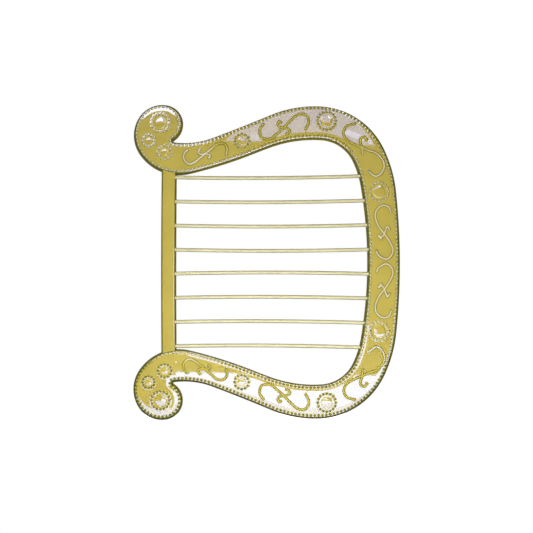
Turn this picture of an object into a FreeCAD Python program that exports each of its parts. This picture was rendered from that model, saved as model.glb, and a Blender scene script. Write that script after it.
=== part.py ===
import FreeCAD, Part
import math
import os

from FreeCAD import Vector

# Costume lyre of hollow gold plastic, standing on its lower volute and the lower arc of its bow.
# Millimetres, +Z up, front towards -Y. The crossbar stands upright on the left (-X), the bow
# opens round to the right (+X) and eight stiff strings run along X between them. The upper and
# lower halves mirror each other about the plane Z = MID, and heights below are measured from it.

# ---- outline of the bow, as tangent arcs that start on the middle plane, heading straight up
MID = 165.0  # height of the middle plane above the ground
OUTER_X = 139.3  # outer edge of the bow on the middle plane
INNER_X = 105.1  # inner edge of the bow on the middle plane
# (radius, sweep in degrees): positive turns left, negative turns right. The last arc of each list
# runs on until the small arc in the throat, between arm and volute, meets it.
OUTER_ARCS = [(710, 6.0), (136, 20.2), (78, 61.1), (120.5, 25.5), (-1620, 2.3), (-83.5, None)]
INNER_ARCS = [(472, 9.7), (101, 15.3), (39.5, 61.5), (132, 23.4), (480, 2.0), (-487, 8.5),
              (-49.8, 69.4), (-35.5, 62.7), (-29, 71.3), (-20.4, None)]
THROAT_R = 0.8

# ---- depths, from the front face to the back face
FACE_Y = -7.2  # flat front face
PARTING_Y = 6.4  # where the shells meet their covers
BACK_Y = 8.8  # back face
WALL = 2.0  # thickness of the side walls
PLATE = 1.6  # thickness of the front plates
DRAFT = 1.4  # how far the side walls lean in from the parting plane to the front face
EDGE_CHAMFER = 1.0  # around the rear edge of both covers
GAP = 0.1  # clearance between pieces that are pushed together
OVERSHOOT = 1.0  # a cutting body runs this far past the piece it cuts

# ---- crossbar between the volutes
BAR_LEFT, BAR_RIGHT = -110.6, -94.7  # its two long edges on the middle plane
BAR_BOW = 0.6  # both edges curve back towards +X by this much at its ends
BAR_REACH = 112.0  # half length before its ends are cut to fit the volutes
BAR_X = (BAR_LEFT + BAR_RIGHT) / 2

# ---- tongues that tie the crossbar into the volutes
TONGUE_WIDTH = 9.6
TONGUE_Y = (1.5, 4.9)
TONGUE_Z = (72.0, 107.0)
TONGUE_SCREW_Z = 101.8

# ---- cover lip that drops inside the shell's walls
LIP_DEPTH = 1.4
LIP_WIDTH = 1.6

# ---- strings: rods glued into holes in the walls, just behind the front plates
STRING_R = 1.95
STRING_DEPTH = 3.7  # of a rod's axis, behind the front face
STRING_Y = FACE_Y + STRING_DEPTH
STRING_END = 1.5  # how far each rod stands out inside the hollow mouldings
STRING_PITCH_LEFT, STRING_PITCH_RIGHT = 25.2, 25.6  # they fan out a little towards the bow
STRING_PAIRS = 4  # strings in each half
STRING_BOW = 1.4  # each one curves towards the middle plane at mid-span

# ---- screws, countersunk, with the shank drawn at its root diameter
SCREW_R, PILOT_R, CLEAR_R = 1.2, 1.3, 1.7
SCREW_HEAD_R, SCREW_HEAD_DEPTH, SINK_R = 2.9, 1.6, 3.0
COVER_SCREW_LENGTH, TONGUE_SCREW_LENGTH = 12.0, 8.0
RECESS_LENGTH, RECESS_WIDTH, RECESS_DEPTH = 3.0, 0.7, 0.9
BOSS_R = 3.5
BOSS_ROOT_Y = FACE_Y + PLATE / 2  # bosses grow out of the middle of the front plate
PILOT_FLOOR = 3.0  # pilot holes stop this far behind the front face
PILOT_END_Y = FACE_Y + PILOT_FLOOR
BAR_SCREW_SHIFT = 0.6  # the crossbar's screws stand this far left of its centre line
BOW_SCREWS = [(-93.9, 106.2), (-93.9, -106.2), (74.6, 136.5), (74.6, -136.5), (117.0, 0.0)]
BAR_SCREWS = [(BAR_X - BAR_SCREW_SHIFT, k * 2 * STRING_PITCH_LEFT) for k in (-1, 0, 1)]
TONGUE_SCREWS = [(BAR_X, TONGUE_SCREW_Z), (BAR_X, -TONGUE_SCREW_Z)]

# ---- raised domes at the centres of the rosettes: (x, height, radius), mirrored below
DOMES = [(-110.6, 144.7, 5.8), (-123.0, 125.9, 2.7), (-106.2, 113.9, 3.5),
         (-26.2, 125.8, 4.2), (62.3, 147.1, 5.9), (117.2, 72.7, 6.4)]
DOME_RISE = 0.25  # height of a dome over its radius

ALONG_Y = Vector(0, 1, 0)


def heading(degrees):
    """Unit vector in the XZ plane, turned from +X towards +Z."""
    angle = math.radians(degrees)
    return Vector(math.cos(angle), 0, math.sin(angle))


# ---------------------------------------------------------------- outline of the bow
def arc_chain(start_x, arcs, grow):
    """The (centre, radius, from, to) of tangent arcs that climb from the middle plane.

    grow moves the whole line to the right of its direction of travel. The last arc's end
    is left open as None.
    """
    point, way, chain = Vector(start_x + grow, 0, 0), 90.0, []
    for radius, sweep in arcs:
        turn = 1 if radius > 0 else -1
        to_centre = heading(way + 90 * turn)
        size = abs(radius) + turn * grow
        centre = point + to_centre * size
        start_angle = way - 90 * turn
        if sweep is None:
            chain.append((centre, size, start_angle, None))
            break
        chain.append((centre, size, start_angle, start_angle + turn * sweep))
        way += turn * sweep
        point = centre + heading(start_angle + turn * sweep) * size
    return chain


def meeting_centre(centre_a, distance_a, centre_b, distance_b):
    """The point at the two given distances from two centres, on the right side (+X)."""
    line = centre_b - centre_a
    span = line.Length
    along = (distance_a ** 2 - distance_b ** 2 + span ** 2) / (2 * span)
    across = math.sqrt(distance_a ** 2 - along ** 2)
    line.normalize()
    side = line.cross(ALONG_Y)
    choices = [centre_a + line * along + side * across * s for s in (1, -1)]
    return max(choices, key=lambda p: p.x)


def angle_of(vector):
    return math.degrees(math.atan2(vector.z, vector.x))


def arc_points(centre, size, start, end):
    return [centre + heading(start + (end - start) * t) * size for t in (0, 0.5, 1)]


def upper_arcs(inset):
    """Upper half of the bow's outline, moved into the material by inset, as 3-point arcs."""
    outer = arc_chain(OUTER_X, OUTER_ARCS, -inset)
    inner = arc_chain(INNER_X, INNER_ARCS, inset)
    throat_r = THROAT_R + inset
    arm, volute = outer[-1], inner[-1]
    throat = meeting_centre(arm[0], arm[1] - throat_r, volute[0], volute[1] + throat_r)
    on_arm = angle_of(throat - arm[0])
    on_volute = angle_of(throat - volute[0])
    outer[-1] = (arm[0], arm[1], arm[2], arm[2] - (arm[2] - on_arm) % 360)
    inner[-1] = (volute[0], volute[1], volute[2], volute[2] - (volute[2] - on_volute) % 360)
    turn = (on_arm - (on_volute + 180)) % 360
    notch = (throat, throat_r, on_arm, on_arm - turn)
    return [arc_points(*arc) for arc in outer + [notch] + inner]


def bow_wire(inset, y):
    edges = []
    for points in upper_arcs(inset):
        for side in (1, -1):
            placed = [Vector(p.x, y, MID + side * p.z) for p in points]
            edges.append(Part.Arc(*placed).toShape())
    return Part.Wire(Part.sortEdges(edges)[0])


def inset_at(y):
    """How far the side walls have leaned in from the parting plane at depth y."""
    return DRAFT * (PARTING_Y - y) / (PARTING_Y - FACE_Y)


def bow_solid(y0, y1, inset0, inset1):
    return Part.makeLoft([bow_wire(inset0, y0), bow_wire(inset1, y1)], True, True)


def drafted_bow(y0, y1, inset=0.0):
    return bow_solid(y0, y1, inset_at(y0) + inset, inset_at(y1) + inset)


def straight_bow(y0, y1, inset):
    return bow_solid(y0, y1, inset, inset)


# ---------------------------------------------------------------- outline of the crossbar
def bar_edge_x(edge_x, height):
    return edge_x + BAR_BOW * (height / BAR_REACH) ** 2


def bar_wire(inset, y):
    sides = []
    for edge_x in (BAR_LEFT + inset, BAR_RIGHT - inset):
        sides.append([Vector(bar_edge_x(edge_x, z), y, MID + z) for z in (-BAR_REACH, 0, BAR_REACH)])
    left, right = sides
    edges = [Part.Arc(*left).toShape(), Part.makeLine(left[2], right[2]),
             Part.Arc(*right).toShape(), Part.makeLine(right[0], left[0])]
    return Part.Wire(Part.sortEdges(edges)[0])


def bar_solid(y0, y1, inset0, inset1):
    return Part.makeLoft([bar_wire(inset0, y0), bar_wire(inset1, y1)], True, True)


def between_volutes(bar):
    """Cuts a crossbar piece back to the bow's walls, leaving the fitting gap."""
    front = drafted_bow(FACE_Y - OVERSHOOT, PARTING_Y, -GAP)
    bow = front.fuse(straight_bow(PARTING_Y, BACK_Y + OVERSHOOT, -GAP))
    pieces = bar.cut(bow).Solids
    return min(pieces, key=lambda s: abs(s.CenterOfMass.z - MID))


# ---------------------------------------------------------------- small features
def box_between(x, y, z):
    """A box from its (low, high) pairs, with heights measured from the middle plane."""
    corner = Vector(x[0], y[0], MID + z[0])
    return Part.makeBox(x[1] - x[0], y[1] - y[0], z[1] - z[0], corner)


def post(place, radius, y0, y1):
    x, height = place
    return Part.makeCylinder(radius, y1 - y0, Vector(x, y0, MID + height), ALONG_Y)


def screw_sink(place, face_y):
    """Clearance hole and countersink for a screw whose head is flush with face_y."""
    x, height = place
    cone = Part.makeCone(CLEAR_R, SINK_R, SCREW_HEAD_DEPTH,
                         Vector(x, face_y - SCREW_HEAD_DEPTH, MID + height), ALONG_Y)
    return cone.fuse(post(place, CLEAR_R, face_y - 2 * WALL, face_y))


def screw(place, face_y, length):
    x, height = place
    head = Part.makeCone(SCREW_R, SCREW_HEAD_R, SCREW_HEAD_DEPTH,
                         Vector(x, face_y - SCREW_HEAD_DEPTH, MID + height), ALONG_Y)
    shank = post(place, SCREW_R, face_y - length, face_y - SCREW_HEAD_DEPTH)
    body = head.fuse(shank)
    half_l, half_w = RECESS_LENGTH / 2, RECESS_WIDTH / 2
    depth = (face_y - RECESS_DEPTH, face_y)
    for half_x, half_z in ((half_l, half_w), (half_w, half_l)):
        body = body.cut(box_between((x - half_x, x + half_x), depth, (height - half_z, height + half_z)))
    return body


def screw_group(places, face_y, length):
    return [screw(place, face_y, length) for place in places]


def with_bosses(shell, places, top_y):
    for place in places:
        shell = shell.fuse(post(place, BOSS_R, BOSS_ROOT_Y, top_y))
    for place in places:
        shell = shell.cut(post(place, PILOT_R, PILOT_END_Y, top_y))
    return shell


def with_domes(shell):
    for x, height, radius in DOMES:
        rise = DOME_RISE * radius
        ball_r = (radius ** 2 + rise ** 2) / (2 * rise)
        for side in (1, -1):
            centre = Vector(x, FACE_Y - rise + ball_r, MID + side * height)
            front = Part.makeBox(2 * ball_r, rise + PLATE / 2, 2 * ball_r,
                                 centre - Vector(ball_r, ball_r, ball_r))
            cap = Part.makeSphere(ball_r, centre).common(front)
            shell = shell.fuse(cap)
    return shell


def tongue(side, clearance=0.0):
    """The crossbar's tongue in the upper (1) or lower (-1) volute."""
    half = TONGUE_WIDTH / 2 + clearance
    z = sorted((side * TONGUE_Z[0], side * (TONGUE_Z[1] + clearance)))
    return box_between((BAR_X - half, BAR_X + half), (TONGUE_Y[0] - clearance, TONGUE_Y[1]), z)


# ---------------------------------------------------------------- strings
def wall_x_right(height):
    """Where a rod comes clear of the inside of the bow's wall."""
    wire = bow_wire(inset_at(STRING_Y) + WALL, STRING_Y)
    crossings = []
    for z in (height - STRING_R, height + STRING_R):
        ray = Part.makeLine(Vector(0, STRING_Y, MID + z), Vector(2 * OUTER_X, STRING_Y, MID + z))
        crossings.append(min(v.X for v in wire.section(ray).Vertexes))
    return max(crossings)


def wall_x_left(height):
    return bar_edge_x(BAR_RIGHT, height) - inset_at(STRING_Y) - WALL


def string_heights(index):
    """Heights of a string, 1 at the top to 8 at the bottom, at the crossbar, mid-span and the bow."""
    place = STRING_PAIRS - index + 0.5
    left, right = place * STRING_PITCH_LEFT, place * STRING_PITCH_RIGHT
    middle = (left + right) / 2 - math.copysign(STRING_BOW, place)
    return left, middle, right


def string_rod(index, radius):
    left, middle, right = string_heights(index)
    ends = wall_x_left(left) - STRING_END, wall_x_right(right) + STRING_END
    axis = Part.Arc(Vector(ends[0], STRING_Y, MID + left),
                    Vector(sum(ends) / 2, STRING_Y, MID + middle),
                    Vector(ends[1], STRING_Y, MID + right)).toShape()
    start = axis.FirstParameter
    circle = Part.Circle(axis.valueAt(start), axis.tangentAt(start), radius)
    section = Part.Face(Part.Wire(circle.toShape()))
    sweep = math.degrees(axis.LastParameter - start)
    return section.revolve(axis.Curve.Center, axis.Curve.Axis, sweep)


def without_string_holes(shell):
    for index in range(1, 2 * STRING_PAIRS + 1):
        shell = shell.cut(string_rod(index, STRING_R + GAP))
    return shell


# ---------------------------------------------------------------- the moulded pieces
def front_shell():
    hollow = drafted_bow(FACE_Y + PLATE, PARTING_Y + OVERSHOOT, WALL)
    shell = drafted_bow(FACE_Y, PARTING_Y).cut(hollow)
    shell = with_bosses(shell, BOW_SCREWS, PARTING_Y)
    shell = with_bosses(shell, TONGUE_SCREWS, TONGUE_Y[0])
    shell = without_string_holes(shell)
    for side in (1, -1):
        window = tongue(side, GAP).fuse(tongue(side, GAP).translated(Vector(0, WALL, 0)))
        shell = shell.cut(window)
    return with_domes(shell)


def back_cover():
    middle_y = BACK_Y - EDGE_CHAMFER
    cover = straight_bow(PARTING_Y, middle_y, 0).fuse(bow_solid(middle_y, BACK_Y, 0, EDGE_CHAMFER))
    lip_y = PARTING_Y - LIP_DEPTH
    lip = drafted_bow(lip_y, PARTING_Y, WALL + GAP).cut(straight_bow(lip_y, PARTING_Y, WALL + LIP_WIDTH))
    cover = cover.fuse(lip)
    for place in BOW_SCREWS:
        cover = cover.cut(screw_sink(place, BACK_Y))
    return cover


def crossbar_front():
    lean = inset_at(FACE_Y + PLATE) + WALL
    outside = bar_solid(FACE_Y, PARTING_Y, DRAFT, 0)
    inside = bar_solid(FACE_Y + PLATE, PARTING_Y, lean, WALL)
    bar = with_bosses(outside.cut(inside), BAR_SCREWS, PARTING_Y)
    bar = between_volutes(bar)
    for side in (1, -1):
        block_z = sorted((side * TONGUE_Z[0], side * (TONGUE_Z[0] + TONGUE_WIDTH)))
        block = box_between((BAR_LEFT, BAR_RIGHT), TONGUE_Y, block_z)
        bar = bar.fuse([outside.common(block), tongue(side)])
        bar = bar.cut(screw_sink((BAR_X, side * TONGUE_SCREW_Z), TONGUE_Y[1]))
    return without_string_holes(bar)


def crossbar_back():
    middle_y = BACK_Y - EDGE_CHAMFER
    strip = bar_solid(PARTING_Y, middle_y, 0, 0).fuse(bar_solid(middle_y, BACK_Y, 0, EDGE_CHAMFER))
    for place in BAR_SCREWS:
        strip = strip.cut(screw_sink(place, BACK_Y))
    return between_volutes(strip)


# ---------------------------------------------------------------- the assembly
def build():
    nodes = {
        "front_shell": front_shell(),
        "back_cover": back_cover(),
        "crossbar_front": crossbar_front(),
        "crossbar_back": crossbar_back(),
        "cover_screws": Part.Compound(screw_group(BOW_SCREWS + BAR_SCREWS, BACK_Y, COVER_SCREW_LENGTH)),
        "tongue_screws": Part.Compound(screw_group(TONGUE_SCREWS, TONGUE_Y[1], TONGUE_SCREW_LENGTH)),
    }
    for index in range(1, 2 * STRING_PAIRS + 1):
        nodes["string_%d" % index] = string_rod(index, STRING_R)
    return nodes


os.makedirs("parts", exist_ok=True)
for name, shape in build().items():
    shape.exportStep("parts/%s.step" % name)
    box = shape.optimalBoundingBox(True, False)
    print("%-15s valid %s  solids %d  volume %8.0f  x %.2f %.2f  y %.2f %.2f  z %.2f %.2f" % (
        name, shape.isValid(), len(shape.Solids), shape.Volume,
        box.XMin, box.XMax, box.YMin, box.YMax, box.ZMin, box.ZMax))
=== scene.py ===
import math

import bmesh
import bpy
import numpy as np
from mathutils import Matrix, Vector
from mathutils.geometry import delaunay_2d_cdt
from mathutils.kdtree import KDTree


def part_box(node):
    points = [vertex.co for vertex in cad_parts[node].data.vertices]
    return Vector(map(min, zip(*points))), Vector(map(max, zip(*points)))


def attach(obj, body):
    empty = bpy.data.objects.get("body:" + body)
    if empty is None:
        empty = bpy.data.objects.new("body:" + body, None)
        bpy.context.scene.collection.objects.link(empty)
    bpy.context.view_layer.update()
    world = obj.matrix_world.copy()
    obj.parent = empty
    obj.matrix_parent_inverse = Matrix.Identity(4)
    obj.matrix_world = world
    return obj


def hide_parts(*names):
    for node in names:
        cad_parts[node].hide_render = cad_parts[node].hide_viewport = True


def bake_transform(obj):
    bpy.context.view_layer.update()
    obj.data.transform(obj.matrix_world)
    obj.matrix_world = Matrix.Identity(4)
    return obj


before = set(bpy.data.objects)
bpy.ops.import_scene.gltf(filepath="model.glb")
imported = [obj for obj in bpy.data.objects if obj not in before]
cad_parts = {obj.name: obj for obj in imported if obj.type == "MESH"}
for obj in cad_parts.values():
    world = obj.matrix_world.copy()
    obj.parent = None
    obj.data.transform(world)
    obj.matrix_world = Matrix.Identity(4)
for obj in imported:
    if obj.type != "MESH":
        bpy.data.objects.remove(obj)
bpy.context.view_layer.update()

# A costume lyre of glossy gold plastic, lying on its side: the crossbar stands upright at the left
# and the strings run level from it to the bow. Shapes are worked out in millimetres and turned into
# metres when a mesh is made. A point of the lyre's plane is a complex number, x + i * height, with
# heights measured from the middle plane, about which the two halves mirror each other.
MM = 0.001  # in metres
METRE = 1000.0  # in millimetres

shell_low, shell_high = (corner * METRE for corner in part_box("front_shell"))
bar_low, bar_high = (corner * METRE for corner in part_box("crossbar_front"))
cover_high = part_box("back_cover")[1] * METRE
MID = (shell_low.z + shell_high.z) / 2  # height of the middle plane
FACE_Y = bar_low.y  # flat front face
PARTING_Y = bar_high.y  # where the shells meet their covers
BACK_Y = cover_high.y  # back face

# ---- outline of the bow's upper half: tangent arcs that climb from the middle plane, each with its
# radius (negative where it turns right) and its sweep in degrees. The last one ends at the throat.
OUTER_X, INNER_X = 139.3, 105.1
OUTER_ARCS = [(710, 6.0), (136, 20.2), (78, 61.1), (120.5, 25.5), (-1620, 2.3), (-83.5, None)]
INNER_ARCS = [(472, 9.7), (101, 15.3), (39.5, 61.5), (132, 23.4), (480, 2.0), (-487, 8.5),
              (-49.8, 69.4), (-35.5, 62.7), (-29, 71.3), (-20.4, None)]
THROAT_R = 0.8  # rounding of the narrow slot between arm and volute
DRAFT = 1.4  # how far the side walls lean in from the parting plane to the front face

# ---- outline of the crossbar
BAR_LEFT, BAR_RIGHT = -110.6, -94.7
BAR_BOW, BAR_REACH = 0.6, 112.0  # its long edges curve back by this much at this height

# ---- edges and crown
EDGE_R = 1.2  # rounding of the front edges
FACE_STARTS = 35.0  # degrees round that edge, from the wall, where the face's own mesh begins
BAR_OVERLAP = 0.55  # the crossbar's face reaches this far over the bow's rounded edge
REAR_R = 1.0  # rounding of the covers' rear edges
SEAM = 0.25  # chamfer on both sides of the parting line
CROWN, CROWN_REACH = 0.9, 6.5  # the bow's face rises this much within this distance of its edge

# ---- beads and rosettes
BEAD_R, BEAD_RISE = 1.3, 1.05
BEAD_FLANK = 0.9  # radius at which a bead is steep
BEAD_INSET, BEAD_PITCH = 3.35, 4.0  # the border row, from the outline and from bead to bead
# upper half: (centre, dome radius, radius of the ring of beads, number of beads)
ROSETTES = [(-110.6 + 144.7j, 5.8, 9.4, 16), (-123.0 + 125.9j, 2.7, 6.2, 12),
            (-106.2 + 113.9j, 3.5, 7.0, 12), (-26.2 + 125.8j, 4.2, 7.3, 12),
            (62.3 + 147.1j, 5.9, 9.4, 16), (117.2 + 72.7j, 6.4, 9.6, 16)]
DOME_RISE = 0.19  # height of a dome over its radius

# ---- scrolls of the upper half: raised ridges, each along a smooth line through its points. A long
# ridge and the short one after it make one scroll.
SCROLL_R, SCROLL_RISE = 1.35, 0.95
SCROLL_FLANK = 1.05  # distance from its line at which a ridge is steep
SCROLLS = [
    [(-83, 116), (-86, 113), (-87, 109), (-85.5, 105), (-82, 102), (-78.5, 102), (-74, 104.5),
     (-69, 108.5), (-63.5, 113), (-58, 117.5), (-53, 122), (-48.5, 123.5), (-45, 123), (-42, 120),
     (-41.5, 115.5), (-42.5, 112)],
    [(-70, 117), (-71.5, 114), (-69.5, 112), (-66, 112), (-63.5, 112.5), (-60, 111.5), (-59, 110),
     (-60.5, 108)],
    [(-3.5, 143.5), (-7, 138.5), (-7.5, 134.5), (-5.5, 129.5), (-1, 128), (4.5, 128.5), (9.5, 132.5),
     (17.5, 139.5), (23, 145.5), (28, 150.2), (33, 153.6), (38, 154.2), (42, 151.7), (43.7, 147.5),
     (43, 143), (40.5, 138.5)],
    [(14.5, 145.5), (13, 146.5), (11.5, 143.5), (13.5, 140.5), (17, 140), (21.5, 139), (24, 137),
     (23, 134.5), (20.5, 133.5)],
    [(91.5, 144), (88, 143), (83.5, 141.5), (81, 138), (80, 134), (82, 129), (87, 124.5), (92.5, 122),
     (99.5, 119), (106.5, 116), (114.5, 113), (121, 106), (122.5, 98.5), (119, 91.5), (113, 89),
     (106.5, 94)],
    [(104, 127.5), (102, 130), (98.5, 129), (97.5, 125.5), (99.5, 119), (99.5, 116.5), (100, 112.5)],
    [(129.5, 51.5), (127, 57), (121, 58.5), (115, 54.5), (113, 47), (116.5, 37), (122.5, 29),
     (128, 21), (131.5, 12), (129, 5), (123.5, 2.5), (116.5, 6.5), (114.5, 11)],
    [(128, 33.5), (125.5, 36.5), (122.5, 29), (120, 25.5), (116.5, 27), (119.5, 23.5)],
]

# ---- screws in the covers, and the faint sink marks that their bosses leave on the bow's front
BOW_SCREWS = [-93.9 + 106.2j, -93.9 - 106.2j, 74.6 + 136.5j, 74.6 - 136.5j, 117.0 + 0j]
BAR_SCREWS = [-103.25 + 1j * height for height in (-50.4, 0, 50.4)]
SINK_R, CLEAR_R, SCREW_HEAD_DEPTH = 3.0, 1.7, 1.6  # countersink's mouth and foot, and its depth
MARK_R, MARK_DEPTH = 2.8, 0.12

# ---- painted light and gloss, as shares from 0 to 1: how much shade is painted, how dull the gloss is, how much highlight is painted
WALL_PAINTED_SHADE, WALL_DULL = 0.15, 0.4  # side walls: painted shade, and less gloss
ROUNDING_PAINTED_SHADE = 0.75  # painted shade on the first part of the rounded front edge
FLANK_PAINTED_SHADE, FLANK_WIDTH = 0.9, 0.4  # painted shade on the steep flanks of beads and scrolls
FOOT_DULL, FOOT_WIDTH = 0.5, 0.3  # feet of domes
BEAD_HIGHLIGHT, SCROLL_HIGHLIGHT, HIGHLIGHT_WIDTH = 1.0, 0.6, 0.65  # painted highlight on the tops of beads and ridges of scrolls
SHADED_BELOW, SHADED_ABOVE = -103.0, 116.0  # heights beyond which the relief gets painted shade in place of that painted highlight
SHADED_FROM_X, SHADED_FADE = -62.0, 10.0  # the upper volute, left of this, keeps the painted highlight
LOW_PAINTED_SHADE, HIGH_PAINTED_SHADE, SCROLL_PAINTED_SHADE = 0.8, 0.3, 0.1  # painted shade on those beads below and above, and on those scrolls
RIM, RIM_SIDE, RIM_FADE, RIM_DULL = 1.75, 2.95, 0.6, 0.7  # painted shade, with less gloss, along the rim of the arms and of the sides
SIDE_FROM, SIDE_FADE = 70.0, 30.0  # the sides begin this far from the middle
ARM_INNER_ARCS = (11, 12, 13, 14)  # of the outline, between the throat and the bow's inner corner
LINE_INSET, LINE_WIDTH, LINE_HIGHLIGHT, LINE_END_X = 1.8, 0.42, 1.0, 95.0  # a painted highlight in a line beside them
STRING_PAINTED_SHADE, STRING_DULL = 1.0, 0.5  # painted shade on the top and bottom of a string, and its dullness in front

# ---- strings, in mirrored pairs
STRING_PITCH_LEFT, STRING_PITCH_RIGHT = 25.2, 25.6
STRING_PAIRS = 4
STRING_BOW = 1.4  # at mid-span a string stands this much nearer to the middle plane

# ---- how finely the meshes are drawn
RING_STEP = 1.1  # along the outline
MIN_ARC_STEPS = 8
GRID_STEP = 1.25  # over the plain parts of the face
SAME_POINT = 0.16  # points nearer than this are one point
EDGE_STEPS, BAR_EDGE_STEPS, REAR_STEPS = 3, 7, 5  # round the bow's, crossbar's and covers' edges
EDGE_ANGLES = (44, 53, 63, 75, 90)  # the rest of the bow's rounded edge, in degrees from the wall
BAR_SIDE_STEPS, BAR_END_STEPS = 24, 14  # along half a long side, and across an end
BEAD_SHARES, BEAD_SIDES = np.array([0.4, 0.7, 0.9, 1.0, 1.12]), 12  # rings, as shares of the radius
DOME_ANGLES, DOME_FOOT, DOME_SIDES = np.linspace(8, 90, 9), 1.04, 40
RIDGE_SHARES = np.array([0.35, 0.65, 0.88, 1.0, 1.14])  # lines beside a ridge's middle
RIDGE_STEP = 0.25
RING_TWIST = 9.0  # degrees by which each ring of points is turned from the last
SINK_SIDES, STRING_SIDES, STRING_POINTS = 36, 20, 65
SHARP_DEGREES = 50.0


# ---------------------------------------------------------------- outlines
def unit(degrees):
    """The point or points at distance 1 in this direction."""
    return np.exp(1j * np.radians(degrees))


def arc_chain(start_x, arcs, grow):
    """The (centre, radius, from, to) of tangent arcs that climb from the middle plane."""
    point, way, chain = start_x + grow + 0j, 90.0, []
    for radius, sweep in arcs:
        turn = 1 if radius > 0 else -1
        size = abs(radius) + turn * grow
        centre = point + unit(way + 90 * turn) * size
        start = way - 90 * turn
        if sweep is None:
            chain.append((centre, size, start, None))
            break
        chain.append((centre, size, start, start + turn * sweep))
        way += turn * sweep
        point = centre + unit(start + turn * sweep) * size
    return chain


def meeting_point(centre_a, distance_a, centre_b, distance_b):
    """The point at the two given distances from two centres, on the right side (+X)."""
    span = abs(centre_b - centre_a)
    line = (centre_b - centre_a) / span
    along = (distance_a ** 2 - distance_b ** 2 + span ** 2) / (2 * span)
    across = math.sqrt(distance_a ** 2 - along ** 2)
    return max((centre_a + line * (along + 1j * side * across) for side in (1, -1)), key=np.real)


def bow_arcs(inset):
    """Upper half of the bow's outline, moved into the material by inset, with material on the left."""
    outer = arc_chain(OUTER_X, OUTER_ARCS, -inset)
    inner = arc_chain(INNER_X, INNER_ARCS, inset)
    throat_r = THROAT_R + inset
    arm, volute = outer[-1], inner[-1]
    throat = meeting_point(arm[0], arm[1] - throat_r, volute[0], volute[1] + throat_r)
    on_arm = math.degrees(np.angle(throat - arm[0]))
    on_volute = math.degrees(np.angle(throat - volute[0]))
    outer[-1] = arm[:3] + (arm[2] - (arm[2] - on_arm) % 360,)
    inner[-1] = volute[:3] + (volute[2] - (volute[2] - on_volute) % 360,)
    turn = (on_arm - (on_volute + 180)) % 360
    notch = (throat, throat_r, on_arm, on_arm - turn)
    back_down = [(centre, size, end, start) for centre, size, start, end in reversed(inner)]
    return outer + [notch] + back_down


def arc_counts():
    """Number of steps along each arc, the same at every inset so that rings can be joined."""
    lengths = [size * math.radians(abs(end - start)) for _, size, start, end in bow_arcs(0)]
    return [max(MIN_ARC_STEPS, math.ceil(length / RING_STEP)) for length in lengths]


ARC_COUNTS = arc_counts()


def upper_line(inset):
    """Points along the upper half of the outline, from the outer to the inner edge."""
    line = []
    for (centre, size, start, end), count in zip(bow_arcs(inset), ARC_COUNTS):
        angles = start + (end - start) * np.arange(count) / count
        line.append(centre + unit(angles) * size)
    centre, size, _, end = bow_arcs(inset)[-1]
    return np.append(np.concatenate(line), centre + unit(end) * size)


def bow_ring(inset):
    """The whole outline of the bow, moved into the material by inset."""
    upper = upper_line(inset)
    return np.concatenate([upper, np.conj(upper[1:-1][::-1])])


def nearest_arc(points):
    """Distance from the bow's outline, positive inside the material, and the index of that arc."""
    folded = points.real + 1j * abs(points.imag)
    nearest = np.full(len(points), np.inf)
    depth, arc = np.zeros(len(points)), np.zeros(len(points), int)
    for index, (centre, size, start, end) in enumerate(bow_arcs(0)):
        away = folded - centre
        turn = 1 if end > start else -1
        on_arc = (turn * (np.degrees(np.angle(away)) - start)) % 360 <= abs(end - start)
        to_ends = np.minimum(abs(away - size * unit(start)), abs(away - size * unit(end)))
        distance = np.where(on_arc, abs(abs(away) - size), to_ends)
        closer = distance < nearest
        nearest = np.where(closer, distance, nearest)
        depth = np.where(closer, distance * np.sign(turn * (size - abs(away))), depth)
        arc = np.where(closer, index, arc)
    return depth, arc


def depth_inside(points):
    return nearest_arc(points)[0]


def inset_at(y):
    """How far the side walls have leaned in from the parting plane at depth y."""
    return DRAFT * (PARTING_Y - y) / (PARTING_Y - FACE_Y)


WALL_TOP = inset_at(FACE_Y + EDGE_R)  # inset where the wall ends and the rounded edge begins


def edge_level(degrees):
    """(inset, y) on the rounded front edge, this far round from the wall."""
    angle = math.radians(degrees)
    return WALL_TOP + EDGE_R * (1 - math.cos(angle)), FACE_Y + EDGE_R * (1 - math.sin(angle))


def front_levels(last_turn, steps):
    """(inset, y, share of painted shade) of the rings up a front moulding's wall and round its edge to
    last_turn. The shade painted on the edge fades out over as many degrees again after FACE_STARTS."""
    levels = [(SEAM, PARTING_Y, WALL_PAINTED_SHADE), (0.0, PARTING_Y - SEAM, WALL_PAINTED_SHADE)]
    for step in range(steps + 1):
        turn = last_turn * step / steps
        levels.append(edge_level(turn) + (ROUNDING_PAINTED_SHADE * np.clip(2 - turn / FACE_STARTS, 0, 1),))
    return levels


def rear_levels():
    """(inset, y, share of painted shade) of the rings down a cover's wall and round its edge."""
    levels = [(SEAM, PARTING_Y, WALL_PAINTED_SHADE), (0.0, PARTING_Y + SEAM, WALL_PAINTED_SHADE)]
    for step in range(REAR_STEPS + 1):
        angle = math.radians(90 * step / REAR_STEPS)
        levels.append((REAR_R * (1 - math.cos(angle)), BACK_Y - REAR_R * (1 - math.sin(angle)),
                       WALL_PAINTED_SHADE * (1 - step / REAR_STEPS)))
    return levels


def bar_edge_x(edge_x, height):
    """Where a long edge of the crossbar, at edge_x on the middle plane, passes this height."""
    return edge_x + BAR_BOW * (height / BAR_REACH) ** 2


def bar_end_height(x, inset):
    """Height at which a vertical line at x first meets the upper volute's outline."""
    heights = []
    for centre, size, start, end in bow_arcs(inset):
        reach = size ** 2 - (x - centre.real) ** 2
        if reach <= 0:
            continue
        turn = 1 if end > start else -1
        for side in (1, -1):
            height = centre.imag + side * math.sqrt(reach)
            angle = math.degrees(np.angle(x + height * 1j - centre))
            if height > 0 and (turn * (angle - start)) % 360 <= abs(end - start):
                heights.append(height)
    return min(heights)


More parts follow.
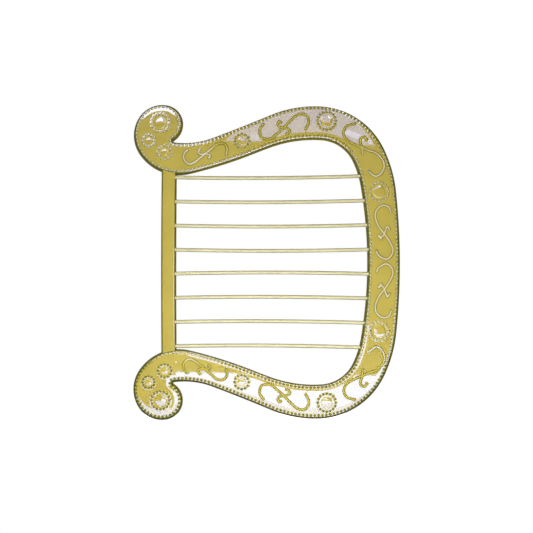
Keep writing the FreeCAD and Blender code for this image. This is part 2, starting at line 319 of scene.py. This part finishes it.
def bar_ring(side_inset, end_inset):
    """Outline of the crossbar, whose ends follow the volutes' outline at end_inset."""
    right, left = BAR_RIGHT - side_inset, BAR_LEFT + side_inset
    corner_height = bar_end_height(bar_edge_x(right, BAR_REACH), end_inset)
    heights = np.linspace(0, corner_height, BAR_SIDE_STEPS + 1)
    right_side = bar_edge_x(right, heights) + heights * 1j
    corner_height = bar_end_height(bar_edge_x(left, BAR_REACH), end_inset)
    heights = np.linspace(corner_height, 0, BAR_SIDE_STEPS + 1)
    left_side = bar_edge_x(left, heights) + heights * 1j
    xs = np.linspace(right_side[-1].real, left_side[0].real, BAR_END_STEPS + 1)[1:-1]
    top = np.array([x + bar_end_height(x, end_inset) * 1j for x in xs])
    upper = np.concatenate([right_side, top, left_side])
    return np.concatenate([upper, np.conj(upper[1:-1][::-1])])


# ---------------------------------------------------------------- ornament
def spline(points, step):
    """A smooth (Catmull-Rom) line through the points, as samples about step apart."""
    knots = np.array([complex(*point) for point in points])
    knots = np.concatenate([[2 * knots[0] - knots[1]], knots, [2 * knots[-1] - knots[-2]]])
    line = []
    for a, b, c, d in zip(knots, knots[1:], knots[2:], knots[3:]):
        t = np.arange(0, 1, step / max(abs(c - b), step))
        line.append(b + (c - a) * t / 2 + (a - 2.5 * b + 2 * c - d / 2) * t ** 2
                    + (-a / 2 + 1.5 * b - 1.5 * c + d / 2) * t ** 3)
    return np.append(np.concatenate(line), knots[-2])


def both_halves(points):
    """The points of the upper half, then their mirror images in the lower half."""
    points = np.asarray(points)
    return np.concatenate([points, np.conj(points)])


def border_beads():
    """Centres of the row of beads that follows the whole outline of the bow."""
    line = upper_line(BEAD_INSET)
    travelled = np.concatenate([[0], np.cumsum(abs(np.diff(line)))])
    count = round(travelled[-1] / BEAD_PITCH)
    places = (np.arange(count) + 0.5) * travelled[-1] / count
    xs, heights = (np.interp(places, travelled, part) for part in (line.real, line.imag))
    return both_halves(xs + 1j * heights)


def rosette_beads():
    """Centres of the rings of beads round the domes."""
    beads = [centre + ring_r * unit(360 * k / count)
             for centre, _, ring_r, count in ROSETTES for k in range(count)]
    return both_halves(beads)


def tree_of(points):
    tree = KDTree(len(points))
    for index, point in enumerate(points):
        tree.insert((point.real, point.imag, 0), index)
    tree.balance()
    return tree


def distance_to(tree, points):
    return np.array([tree.find((point.real, point.imag, 0))[2] for point in points])


def cap(distance, radius, rise):
    """Height of a round-topped form at a distance from its middle."""
    return rise * np.sqrt(np.clip(1 - (distance / radius) ** 2, 0, None))


BEADS = np.concatenate([border_beads(), rosette_beads()])
SCROLL_LINES = [spline(points, RIDGE_STEP) for points in SCROLLS]
BEAD_TREE = tree_of(BEADS)
SCROLL_TREE = tree_of(both_halves(np.concatenate(SCROLL_LINES)))
FACE_INSET = edge_level(FACE_STARTS)[0]  # of the ring where the face's own mesh begins


def crown(depth):
    """Rise of the bow's plain face, from its rounded edge up to its gently raised middle."""
    short = np.clip(1 - (depth - WALL_TOP) / CROWN_REACH, 0, 1)
    edge_short = np.clip(1 - (depth - WALL_TOP) / EDGE_R, 0, 1)
    return CROWN * (1 - short ** 2) - EDGE_R * (1 - np.sqrt(1 - edge_short ** 2))


def relief(points):
    """Height of the bow's face above its flat front plane."""
    raised = np.maximum(cap(distance_to(BEAD_TREE, points), BEAD_R, BEAD_RISE),
                        cap(distance_to(SCROLL_TREE, points), SCROLL_R, SCROLL_RISE))
    folded = points.real + 1j * abs(points.imag)
    for centre, dome_r, _, _ in ROSETTES:
        raised = np.maximum(raised, cap(abs(folded - centre), dome_r, DOME_RISE * dome_r))
    for place in BOW_SCREWS:
        share = np.clip(1 - (abs(points - place) / MARK_R) ** 2, 0, 1)
        raised = raised - MARK_DEPTH * share ** 2
    return crown(depth_inside(points)) + raised


def shaded_relief_share(points):
    """How far the relief gets painted shade in place of its painted highlight, from 0 to 1: the share
    towards the bottom of the bow's front, and the share towards its top."""
    low = np.clip(0.5 - (points.imag - SHADED_BELOW) / SHADED_FADE, 0, 1)
    high = np.clip(0.5 + (points.imag - SHADED_ABOVE) / SHADED_FADE, 0, 1)
    return low, high * np.clip((points.real - SHADED_FROM_X) / SHADED_FADE, 0, 1)


def edge_painted_light(points):
    """Shares of the painted shade along the bow's edges, and of a painted highlight in a line inside
    the arms' inner edges."""
    depth, arc = nearest_arc(points)
    side = np.clip((abs(points.real) - SIDE_FROM) / SIDE_FADE, 0, 1)
    rim = np.clip((RIM + (RIM_SIDE - RIM) * side - depth) / RIM_FADE, 0, 1)
    on_arm = np.isin(arc, ARM_INNER_ARCS) * np.clip((LINE_END_X - points.real) / SIDE_FADE, 0, 1)
    line = on_arm * np.exp(-((depth - LINE_INSET) / LINE_WIDTH) ** 2)
    return rim * (1 - line), line


def relief_painted_light(points):
    """Painted shade, dullness and painted highlight of the bow's front: shade painted on the flanks,
    highlight painted on the relief, and shade painted on the relief towards the top and bottom.
    """
    bead, scroll = distance_to(BEAD_TREE, points), distance_to(SCROLL_TREE, points)
    folded = points.real + 1j * abs(points.imag)
    low, high = shaded_relief_share(points)
    shaded_relief = np.maximum(low, high)
    bead_body, scroll_body = np.exp(-(bead / BEAD_R) ** 4), np.exp(-(scroll / SCROLL_FLANK) ** 4)
    body = np.maximum(bead_body, scroll_body)
    rim, line = edge_painted_light(points)
    gap = np.minimum(abs(bead - BEAD_FLANK), abs(scroll - SCROLL_FLANK))
    flank = np.exp(-(gap / FLANK_WIDTH) ** 2)
    feet = np.min([abs(abs(folded - centre) - dome_r) for centre, dome_r, _, _ in ROSETTES], axis=0)
    dull = np.max([flank, FOOT_DULL * np.exp(-(feet / FOOT_WIDTH) ** 2), body * shaded_relief, RIM_DULL * rim],
                  axis=0)
    painted_highlight = np.maximum(BEAD_HIGHLIGHT * np.exp(-(bead / HIGHLIGHT_WIDTH) ** 2),
                     SCROLL_HIGHLIGHT * np.exp(-(scroll / HIGHLIGHT_WIDTH) ** 2))
    painted_shade = np.max([rim, FLANK_PAINTED_SHADE * flank, bead_body * (LOW_PAINTED_SHADE * low + HIGH_PAINTED_SHADE * high),
                   SCROLL_PAINTED_SHADE * scroll_body * shaded_relief], axis=0)
    return painted_shade, dull, np.maximum(painted_highlight * (1 - shaded_relief), LINE_HIGHLIGHT * line)


def rings_about(centre, radii, sides):
    """A centre and rings of points about it."""
    angles = 360 * np.arange(sides) / sides
    rings = [centre + radius * unit(angles + RING_TWIST * i) for i, radius in enumerate(radii)]
    return np.concatenate([[centre]] + rings)


def beside(line, offsets):
    """Points beside a line, at each of the offsets across it."""
    way = np.gradient(line)
    across = 1j * way / abs(way)
    return np.concatenate([line + across * offset for offset in offsets])


def ornament_points():
    """Points that follow the ornament closely, for the upper half of the face."""
    points = [rings_about(bead, BEAD_R * BEAD_SHARES, BEAD_SIDES) for bead in BEADS[BEADS.imag > 0]]
    dome_shares = np.append(np.sin(np.radians(DOME_ANGLES)), DOME_FOOT)
    for centre, dome_r, _, _ in ROSETTES:
        points.append(rings_about(centre, dome_r * dome_shares, DOME_SIDES))
    across = RIDGE_SHARES * SCROLL_R
    for line in SCROLL_LINES:
        points.append(beside(line[::2], np.concatenate([-across[::-1], [0], across])))
        for tip in (line[0], line[-1]):
            points.append(rings_about(tip, across, BEAD_SIDES))
    return np.concatenate(points)


def grid_points(low, high, step):
    """A plain grid of triangles' corners over the rectangle from low to high."""
    xs = np.arange(low.real, high.real, step)
    heights = np.arange(low.imag, high.imag, step * math.sqrt(3) / 2)
    shift = step / 2 * (np.arange(len(heights)) % 2)
    return (xs[None, :] + shift[:, None] + 1j * heights[:, None]).ravel()


def edge_points():
    """Points along the rounded edge, inside the ring where the face begins."""
    return np.concatenate([upper_line(edge_level(degrees)[0]) for degrees in EDGE_ANGLES])


def face_points():
    """All the points inside the bow's face, ornament first and then a plain grid."""
    ornament = np.concatenate([ornament_points(), edge_points()])
    tree = tree_of(ornament)
    grid = grid_points(shell_low.x + 0j, shell_high.x + 1j * MID, GRID_STEP)
    grid = grid[depth_inside(grid) > FACE_INSET + GRID_STEP / 2]
    grid = grid[distance_to(tree, grid) > GRID_STEP / 2]
    points = np.concatenate([ornament, grid])
    points = points[(points.imag > SAME_POINT) & (depth_inside(points) > FACE_INSET + SAME_POINT)]
    cells = np.round(points / SAME_POINT)
    _, first = np.unique(cells, return_index=True)
    return both_halves(points[np.sort(first)])


# ---------------------------------------------------------------- meshes
INSIDE_ONLY = 1  # keeps only the triangles inside the outline
SAME_PLACE = 1e-5  # points nearer than this are joined by the filling


class MeshMaker:
    """Collects points and faces, then makes one closed smooth mesh of them."""

    def __init__(self):
        self.points = []
        self.painted_shades = []
        self.dulls = []
        self.painted_highlights = []
        self.faces = []

    def add_points(self, plane_points, y, painted_shade=0.0, dull=0.0, painted_highlight=0.0):
        """Adds points at depth y, with three shares from 0 to 1: how much shade is painted on them, how
        little gloss they have, and how much highlight is painted on them."""
        first = len(self.points)
        ys = np.broadcast_to(y, len(plane_points))
        self.points += [(p.real * MM, depth * MM, (MID + p.imag) * MM)
                        for p, depth in zip(plane_points, ys)]
        self.painted_shades += list(np.broadcast_to(painted_shade, len(plane_points)))
        self.dulls += list(np.broadcast_to(dull, len(plane_points)))
        self.painted_highlights += list(np.broadcast_to(painted_highlight, len(plane_points)))
        return list(range(first, len(self.points)))

    def add_wall(self, ring_a, ring_b):
        """Joins two rings with the same number of points by a band of quads."""
        for i in range(len(ring_a)):
            j = (i + 1) % len(ring_a)
            self.faces.append((ring_a[i], ring_a[j], ring_b[j], ring_b[i]))

    def add_fill(self, ring, ring_points, inside=(), levels=(), holes=()):
        """Fills a ring with triangles that pass through the inside points and around the holes.

        levels holds the inside points' y, then their shares of painted shade, dullness and painted
        highlight. Each hole is its (indices, points, centre, radius).
        """
        inside = np.asarray(inside, complex)
        known = list(ring)
        loops = [(0, len(ring))]
        plane = [ring_points]
        for indices, points, _, _ in holes:
            loops.append((len(known), len(indices)))
            known += indices
            plane.append(points)
        plane = np.concatenate(plane + [inside])
        if len(inside):
            known += self.add_points(inside, *levels)
        edges = [(first + i, first + (i + 1) % count) for first, count in loops for i in range(count)]
        coords = [Vector((p.real, p.imag)) for p in plane]
        found, _, triangles, origins, _, _ = delaunay_2d_cdt(coords, edges, [], INSIDE_ONLY, SAME_PLACE)
        for triangle in triangles:
            middle = sum(complex(*found[i]) for i in triangle) / 3
            if all(abs(middle - centre) > radius for _, _, centre, radius in holes):
                self.faces.append(tuple(known[origins[i][0]] for i in triangle))

    def finish(self, name):
        mesh = bpy.data.meshes.new(name)
        mesh.from_pydata(self.points, [], self.faces)
        for kind, values in (("painted_shade", self.painted_shades), ("dull", self.dulls), ("painted_highlight", self.painted_highlights)):
            shares = mesh.attributes.new(kind, "FLOAT", "POINT").data
            shares.foreach_set("value", np.array(values, np.float32))
        work = bmesh.new()
        work.from_mesh(mesh)
        bmesh.ops.delete(work, geom=[v for v in work.verts if not v.link_faces], context="VERTS")
        bmesh.ops.recalc_face_normals(work, faces=work.faces)
        work.to_mesh(mesh)
        work.free()
        mesh.shade_smooth()
        mesh.set_sharp_from_angle(angle=math.radians(SHARP_DEGREES))
        obj = bpy.data.objects.new(name, mesh)
        bpy.context.scene.collection.objects.link(obj)
        return obj


def walls(maker, rings, depths, painted_shades):
    """Joins rings of plane points at their depths and closes the first one with a flat cap. Returns
    the indices of the last ring, which is left open."""
    indices = []
    for ring, y, painted_shade in zip(rings, depths, painted_shades):
        indices.append(maker.add_points(ring, y, painted_shade, WALL_DULL * min(painted_shade / WALL_PAINTED_SHADE, 1)))
    for lower, upper in zip(indices, indices[1:]):
        maker.add_wall(lower, upper)
    maker.add_fill(indices[0], rings[0])
    return indices[-1]


def sink_holes(maker, places):
    """Countersunk pockets for screws in the back face, as holes for add_fill."""
    holes = []
    circle = unit(360 * np.arange(SINK_SIDES) / SINK_SIDES)
    for place in places:
        mouth = place + SINK_R * circle
        foot = place + CLEAR_R * circle
        mouth_ring = maker.add_points(mouth, BACK_Y)
        foot_ring = maker.add_points(foot, BACK_Y - SCREW_HEAD_DEPTH)
        maker.add_wall(mouth_ring, foot_ring)
        maker.faces.append(tuple(foot_ring))
        holes.append((mouth_ring, mouth, place, SINK_R))
    return holes


def bow_front():
    maker = MeshMaker()
    insets, ys, painted_shades = zip(*front_levels(FACE_STARTS, EDGE_STEPS))
    rings = [bow_ring(inset) for inset in insets]
    depths = [y if inset <= WALL_TOP else FACE_Y - crown(inset) for inset, y in zip(insets, ys)]
    last = walls(maker, rings, depths, painted_shades)
    inside = face_points()
    painted_shade, dull, painted_highlight = relief_painted_light(inside)
    maker.add_fill(last, rings[-1], inside, (FACE_Y - relief(inside), painted_shade, dull, painted_highlight))
    return maker.finish("gold_front")


def bow_back():
    maker = MeshMaker()
    insets, ys, painted_shades = zip(*rear_levels())
    rings = [bow_ring(inset) for inset in insets]
    last = walls(maker, rings, ys, painted_shades)
    maker.add_fill(last, rings[-1], holes=sink_holes(maker, BOW_SCREWS))
    return maker.finish("gold_back")


def bar_front():
    maker = MeshMaker()
    insets, ys, painted_shades = zip(*front_levels(90, BAR_EDGE_STEPS))
    rings = [bar_ring(inset, min(inset, WALL_TOP + BAR_OVERLAP)) for inset in insets]
    last = walls(maker, rings, ys, painted_shades)
    maker.add_fill(last, rings[-1])
    return maker.finish("gold_bar_front")


def bar_back():
    maker = MeshMaker()
    insets, ys, painted_shades = zip(*rear_levels())
    rings = [bar_ring(inset, -inset) for inset in insets]
    last = walls(maker, rings, ys, painted_shades)
    maker.add_fill(last, rings[-1], holes=sink_holes(maker, BAR_SCREWS))
    return maker.finish("gold_bar_back")


def string_axis(index, low, high):
    """Points along a string, on the arc through its heights at both ends and at mid-span."""
    place = STRING_PAIRS - index + 0.5
    left = low.x + 1j * place * STRING_PITCH_LEFT
    right = high.x + 1j * place * STRING_PITCH_RIGHT
    middle = (left + right) / 2 - 1j * math.copysign(STRING_BOW, place)
    share = np.linspace(-1, 1, STRING_POINTS)
    return middle + (right - left) / 2 * share + ((left + right) / 2 - middle) * share ** 2


def string_half(name, axis, y, radius):
    """A round rod along half a string."""
    maker = MeshMaker()
    across = 1j * np.gradient(axis)
    across /= abs(across)
    circle = unit(360 * np.arange(STRING_SIDES) / STRING_SIDES)
    # painted shade on the top and bottom of each string, and less gloss there
    painted_shade, dull = STRING_PAINTED_SHADE * circle.real ** 2, np.maximum(STRING_DULL, abs(circle.real))
    rings = [maker.add_points(point + side * radius * circle.real, y + radius * circle.imag, painted_shade, dull)
             for point, side in zip(axis, across)]
    for ring_a, ring_b in zip(rings, rings[1:]):
        maker.add_wall(ring_a, ring_b)
    maker.faces += [tuple(rings[0]), tuple(rings[-1])]
    return maker.finish(name)


# ---------------------------------------------------------------- materials
class Nodes:
    """A material whose node tree is built with short calls."""

    def __init__(self, name):
        self.material = bpy.data.materials.new(name)
        self.material.use_nodes = True
        self.tree = self.material.node_tree
        self.shader = self.tree.nodes["Principled BSDF"]
        self.place = self.add("ShaderNodeTexCoord").outputs["Object"]

    def add(self, kind, **settings):
        node = self.tree.nodes.new(kind)
        for name, value in settings.items():
            setattr(node, name, value)
        return node

    def link(self, source, target):
        self.tree.links.new(source, target)

    def noise(self, size_mm, detail):
        """Noise whose features are about size_mm across."""
        node = self.add("ShaderNodeTexNoise")
        node.inputs["Scale"].default_value = METRE / size_mm
        node.inputs["Detail"].default_value = detail
        self.link(self.place, node.inputs["Vector"])
        return node.outputs["Fac"]

    def spread(self, value, low, high, from_low=0.3, from_high=0.7):
        """The value spread over low to high, from the range that noise mostly stays in."""
        node = self.add("ShaderNodeMapRange")
        node.inputs["From Min"].default_value = from_low
        node.inputs["From Max"].default_value = from_high
        node.inputs["To Min"].default_value = low
        node.inputs["To Max"].default_value = high
        self.link(value, node.inputs["Value"])
        return node.outputs["Result"]

    def share(self, kind):
        """One of the shares that the mesh holds at its points."""
        return self.add("ShaderNodeAttribute", attribute_name=kind).outputs["Fac"]

    def blend(self, share, colour_a, colour_b):
        """colour_a where the share is 0 and colour_b where it is 1."""
        node = self.add("ShaderNodeMix", data_type="RGBA")
        self.link(share, node.inputs["Factor"])
        for socket, colour in ((node.inputs["A"], colour_a), (node.inputs["B"], colour_b)):
            if isinstance(colour, tuple):
                socket.default_value = colour + (1.0,)
            else:
                self.link(colour, socket)
        return node.outputs["Result"]

    def bump(self, height, depth_mm, normal=None):
        node = self.add("ShaderNodeBump")
        node.inputs["Strength"].default_value = 1.0
        node.inputs["Distance"].default_value = depth_mm * MM
        self.link(height, node.inputs["Height"])
        if normal is not None:
            self.link(normal, node.inputs["Normal"])
        return node.outputs["Normal"]

    def set(self, **values):
        """Sets the shader's inputs to values or to other nodes' outputs."""
        for name, value in values.items():
            socket = self.shader.inputs[name.replace("_", " ")]
            if isinstance(value, bpy.types.NodeSocket):
                self.link(value, socket)
            else:
                socket.default_value = value


GOLD_LIGHT, GOLD_DEEP = (0.600, 0.480, 0.070), (0.540, 0.425, 0.055)
GOLD_FLAKE = (0.700, 0.600, 0.150)
GOLD_PAINTED_SHADE = (0.125, 0.145, 0.005)  # painted shade: the dark green-brown put where the gold would lie in shade
# painted highlight: a pale gold put on the relief where it would catch the light
GOLD_PAINTED_HIGHLIGHT = (0.950, 0.870, 0.660)
PALE_LIGHT, PALE_DEEP = (0.800, 0.720, 0.370), (0.740, 0.660, 0.310)  # strings: a paler copy of the gold, a painted highlight standing in for the light along them
STEEL_DARK, STEEL_LIGHT = (0.42, 0.42, 0.40), (0.62, 0.61, 0.58)
PAPER_DARK, PAPER_LIGHT = (0.86, 0.86, 0.86), (0.90, 0.90, 0.90)
WHITE, BLACK = (1.0, 1.0, 1.0), (0.0, 0.0, 0.0)
COAT_IOR = 2.2  # a harder gloss than plain varnish
DULL_FULL = 0.8  # no gloss is left from this dullness on
FLAKE_FROM, FLAKE_TO = 0.58, 0.75  # where the noise turns into flake
FLAKE_SHARE = 0.6  # how much of its own colour a flake has at most
FLOOR_GLOW = 0.70  # under the object
FLOOR_FADE = (0.2, 0.6)  # from here to here, in metres, the floor's glow grows to 1


def gold_plastic(name, light, deep):
    """Gold-filled plastic under a clear gloss: cloudy colour, fine flake, a trace of orange peel, and
    the painted shade and painted highlight that the mesh's shares call for.
    """
    gold = Nodes(name)
    cloud = gold.spread(gold.noise(size_mm=26, detail=3), 0.0, 1.0)
    grain = gold.spread(gold.noise(size_mm=0.9, detail=2), 0.0, 1.0)
    flake = gold.spread(gold.noise(size_mm=0.45, detail=1), 0.0, FLAKE_SHARE, FLAKE_FROM, FLAKE_TO)
    colour = gold.blend(cloud, deep, light)
    colour = gold.blend(flake, colour, GOLD_FLAKE)
    # painted shade (dark green-brown) and painted highlight (pale gold), where the mesh's shares put
    # them
    colour = gold.blend(gold.share("painted_shade"), colour, GOLD_PAINTED_SHADE)
    colour = gold.blend(gold.share("painted_highlight"), colour, GOLD_PAINTED_HIGHLIGHT)
    coat = gold.spread(gold.share("dull"), 1.0, 0.0, 0.0, DULL_FULL)
    peel = gold.bump(gold.noise(size_mm=3.5, detail=2), depth_mm=0.008)
    gold.set(Base_Color=colour, Specular_IOR_Level=0.1,
             Normal=gold.bump(grain, depth_mm=0.004, normal=peel), Coat_Normal=peel,
             Roughness=gold.spread(gold.noise(size_mm=1.4, detail=2), 0.36, 0.5),
             Coat_Weight=coat, Coat_IOR=COAT_IOR,
             Coat_Roughness=gold.spread(gold.noise(size_mm=14, detail=4), 0.02, 0.06))
    return gold.material


def screw_steel(name):
    """Zinc-plated steel, cloudy and a little rough."""
    steel = Nodes(name)
    tone = steel.spread(steel.noise(size_mm=1.2, detail=3), 0.0, 1.0)
    steel.set(Base_Color=steel.blend(tone, STEEL_DARK, STEEL_LIGHT), Metallic=1.0,
              Roughness=steel.spread(steel.noise(size_mm=0.5, detail=3), 0.22, 0.45),
              Normal=steel.bump(steel.noise(size_mm=0.25, detail=2), depth_mm=0.01))
    return steel.material


def pale_floor(name):
    """White paper, lit from within more and more away from the object so that its edge is lost."""
    floor = Nodes(name)
    tone = floor.spread(floor.noise(size_mm=4, detail=3), 0.0, 1.0)
    away = floor.add("ShaderNodeVectorMath", operation="LENGTH")
    floor.link(floor.place, away.inputs[0])
    floor.set(Base_Color=floor.blend(tone, PAPER_DARK, PAPER_LIGHT), Roughness=0.9,
              Specular_IOR_Level=0.1, Emission_Color=WHITE + (1.0,),
              Emission_Strength=floor.spread(away.outputs["Value"], FLOOR_GLOW, 1.0, *FLOOR_FADE),
              Normal=floor.bump(floor.noise(size_mm=1, detail=3), depth_mm=0.02))
    return floor.material


def glow(name, colour, strength):
    """A black sheet that gives off light."""
    card = Nodes(name)
    card.set(Base_Color=BLACK + (1.0,), Emission_Color=colour + (1.0,), Emission_Strength=strength)
    return card.material


# ---------------------------------------------------------------- the object
def finish_piece(obj, material, nodes, body="frame"):
    """Gives a piece its material, hides the nodes that it replaces and, when a body is given, hangs it
    on that body.
    """
    obj.data.materials.append(material)
    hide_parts(*nodes)
    if body:
        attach(obj, body)


def make_strings(material):
    """Each string in two halves, each from its wall to mid-span."""
    for index in range(1, 2 * STRING_PAIRS + 1):
        node = "string_%d" % index
        low, high = (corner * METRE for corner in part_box(node))
        radius, y = (high.y - low.y) / 2, (high.y + low.y) / 2
        axis = string_axis(index, low, high)
        half = len(axis) // 2
        halves = (("left", axis[:half + 1], axis[0]), ("right", axis[half:], axis[-1]))
        for side, part, end in halves:
            obj = string_half("%s_%s" % (node, side), part, y, radius)
            finish_piece(obj, material, [node], body=None)
            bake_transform(obj)


def make_object():
    gold = gold_plastic("gold_plastic", GOLD_LIGHT, GOLD_DEEP)
    steel = screw_steel("screw_steel")
    finish_piece(bow_front(), gold, ["front_shell"])
    finish_piece(bow_back(), gold, ["back_cover"])
    finish_piece(bar_front(), gold, ["crossbar_front"])
    finish_piece(bar_back(), gold, ["crossbar_back"])
    make_strings(gold_plastic("gold_string", PALE_LIGHT, PALE_DEEP))
    for name in ("cover_screws", "tongue_screws"):
        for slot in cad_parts[name].material_slots:
            slot.material = steel


# ---------------------------------------------------------------- camera, floor and light
# ---- in metres, where nothing else is said
CAMERA_AWAY = 3.2
CAMERA_ELEVATION = -2.6  # degrees: it looks up a little, so the top arm shows its underside
SEEN_WIDTH = 0.5568  # at the object
AIM_X, AIM_DROP = -0.0003, 0.0049  # where the lens axis passes the middle of the object
SENSOR_WIDTH = 36.0  # millimetres
FLOOR_REACH = 2.5
PANEL_Y = -0.19  # where the glowing panels stand, close in front as in a light tent
PANEL_GAP = 0.004  # keeps one panel clear of the one that it overlaps
TABLE_FAR_Y = -0.02
CENTRE = (0, 0, 0.17)  # of the object
LAMP_COLOUR = (1.0, 0.99, 0.97)
LAVENDER, SKY_BLUE = (0.345, 0.396, 1.0), (0.42, 0.53, 1.0)
WORLD_LEVEL = 0.40  # brightness of the surroundings
BEHIND, BESIDE = 0.98, 0.70  # how straight behind the object a direction points, at most 1
BEHIND_LEVEL, BESIDE_LEVEL = 0.01, 0.12  # brightness of the surroundings there, in reflections


def make_camera():
    camera = bpy.data.objects.new("camera", bpy.data.cameras.new("camera"))
    bpy.context.scene.collection.objects.link(camera)
    camera.data.sensor_width = SENSOR_WIDTH
    camera.data.lens = SENSOR_WIDTH * CAMERA_AWAY / SEEN_WIDTH
    camera.data.clip_end = 50.0
    tilt = math.radians(CAMERA_ELEVATION)
    aim = Vector((AIM_X, 0, MID * MM - AIM_DROP))
    camera.location = aim + CAMERA_AWAY * Vector((0, -math.cos(tilt), math.sin(tilt)))
    camera.rotation_euler = (math.radians(90) - tilt, 0, 0)
    bpy.context.scene.camera = camera


def flat_card(name, corners, material, glossy_only):
    """A flat sheet beside the object, seen either in reflections only or by the camera only."""
    mesh = bpy.data.meshes.new(name)
    mesh.from_pydata(corners, [], [tuple(range(len(corners)))])
    mesh.materials.append(material)
    card = bpy.data.objects.new(name, mesh)
    bpy.context.scene.collection.objects.link(card)
    card.visible_camera = not glossy_only
    card.visible_diffuse = False
    card.visible_transmission = False
    card.visible_glossy = glossy_only
    card.visible_shadow = not glossy_only


def panel(name, corners, colour, strength, near_y=PANEL_Y, far_y=PANEL_Y):
    """A glowing panel seen only in reflections. Its corners are (x, height above the middle plane):
    the first two stand at near_y and the last two at far_y."""
    ys = (near_y, near_y, far_y, far_y)
    places = [(x, y, MID * MM + height) for (x, height), y in zip(corners, ys)]
    flat_card(name, places, glow(name, colour, strength), True)


def make_floor():
    corners = [(-FLOOR_REACH, -FLOOR_REACH, 0), (FLOOR_REACH, -FLOOR_REACH, 0),
               (FLOOR_REACH, FLOOR_REACH, 0), (-FLOOR_REACH, FLOOR_REACH, 0)]
    flat_card("floor", corners, pale_floor("floor_paper"), False)


def area_light(name, place, aim, size, power):
    light = bpy.data.lights.new(name, "AREA")
    light.shape, light.size, light.energy, light.color = "SQUARE", size, power, LAMP_COLOUR
    obj = bpy.data.objects.new(name, light)
    obj.location = place
    obj.rotation_euler = (Vector(aim) - Vector(place)).to_track_quat("-Z", "Y").to_euler()
    obj.visible_glossy = False
    bpy.context.scene.collection.objects.link(obj)


def make_world():
    """White to the camera, dim to everything else, and darkest straight behind the object."""
    world = bpy.data.worlds.new("studio")
    bpy.context.scene.world = world
    world.use_nodes = True
    tree = world.node_tree
    nodes, link = tree.nodes, tree.links.new
    nodes.clear()
    place = nodes.new("ShaderNodeTexCoord")
    apart = nodes.new("ShaderNodeSeparateXYZ")
    link(place.outputs["Generated"], apart.inputs["Vector"])
    shade = nodes.new("ShaderNodeMapRange")
    shade.interpolation_type = "SMOOTHSTEP"
    ranges = {"From Min": BEHIND, "From Max": BESIDE, "To Min": BEHIND_LEVEL, "To Max": BESIDE_LEVEL}
    for name, value in ranges.items():
        shade.inputs[name].default_value = value
    link(apart.outputs["Y"], shade.inputs["Value"])
    rays = nodes.new("ShaderNodeLightPath")
    pick = nodes.new("ShaderNodeMix")
    pick.inputs["A"].default_value = WORLD_LEVEL
    link(rays.outputs["Is Glossy Ray"], pick.inputs["Factor"])
    link(shade.outputs["Result"], pick.inputs["B"])
    white = nodes.new("ShaderNodeMix")
    white.inputs["B"].default_value = 1.0
    link(rays.outputs["Is Camera Ray"], white.inputs["Factor"])
    link(pick.outputs["Result"], white.inputs["A"])
    background = nodes.new("ShaderNodeBackground")
    background.inputs["Color"].default_value = WHITE + (1.0,)
    link(white.outputs["Result"], background.inputs["Strength"])
    output = nodes.new("ShaderNodeOutputWorld")
    link(background.outputs["Background"], output.inputs["Surface"])


def make_light():
    make_world()
    area_light("key", place=(-0.3, -1.6, 0.7), aim=CENTRE, size=0.8, power=1)
    area_light("fill", place=(0.0, -0.42, 0.03), aim=(0.0, 0, 0.03), size=0.3, power=1.9)
    area_light("behind", place=(0.6, 2.2, 1.5), aim=CENTRE, size=1.4, power=20)
    panel("window", [(-0.045, 0.142), (0.122, 0.137), (0.130, 0.260), (-0.07, 0.260)],
          colour=LAVENDER, strength=2.7)
    panel("streak_left", [(-0.020, 0.144), (-0.004, 0.1425), (-0.006, 0.149), (-0.016, 0.153)],
          colour=SKY_BLUE, strength=5.0)
    panel("streak_right", [(0.083, 0.150), (0.121, 0.136), (0.119, 0.143), (0.090, 0.154)],
          colour=SKY_BLUE, strength=5.0)
    panel("window_high", [(-0.07, 0.260), (0.10, 0.260), (0.10, 0.50), (-0.07, 0.50)],
          colour=LAVENDER, strength=2.7)
    panel("window_left", [(-0.30, 0.185), (-0.075, 0.185), (-0.07, 0.50), (-0.40, 0.50)],
          colour=(0.62, 0.66, 1.0), strength=7.5)
    panel("window_right", [(0.104, 0.205), (0.190, 0.225), (0.190, 0.50), (0.09, 0.50)],
          colour=(0.55, 0.62, 1.0), strength=9.0, near_y=PANEL_Y + PANEL_GAP)
    panel("sill", [(-0.080, -0.072), (0.092, -0.100), (0.085, -0.058), (-0.080, 0.055)],
          colour=(0.46, 0.56, 1.0), strength=5.0)
    panel("table_edge", [(-0.10, -0.113), (0.30, -0.121), (0.30, -0.153), (-0.10, -0.153)],
          colour=(0.42, 0.54, 1.0), strength=6.6)
    panel("table", [(-0.35, -0.153), (0.35, -0.153), (0.50, -0.46), (-0.50, -0.46)],
          colour=(0.37, 0.48, 1.0), strength=4.7, far_y=TABLE_FAR_Y)
    bpy.context.scene.view_settings.view_transform = "Standard"


make_object()
make_camera()
make_floor()
make_light()
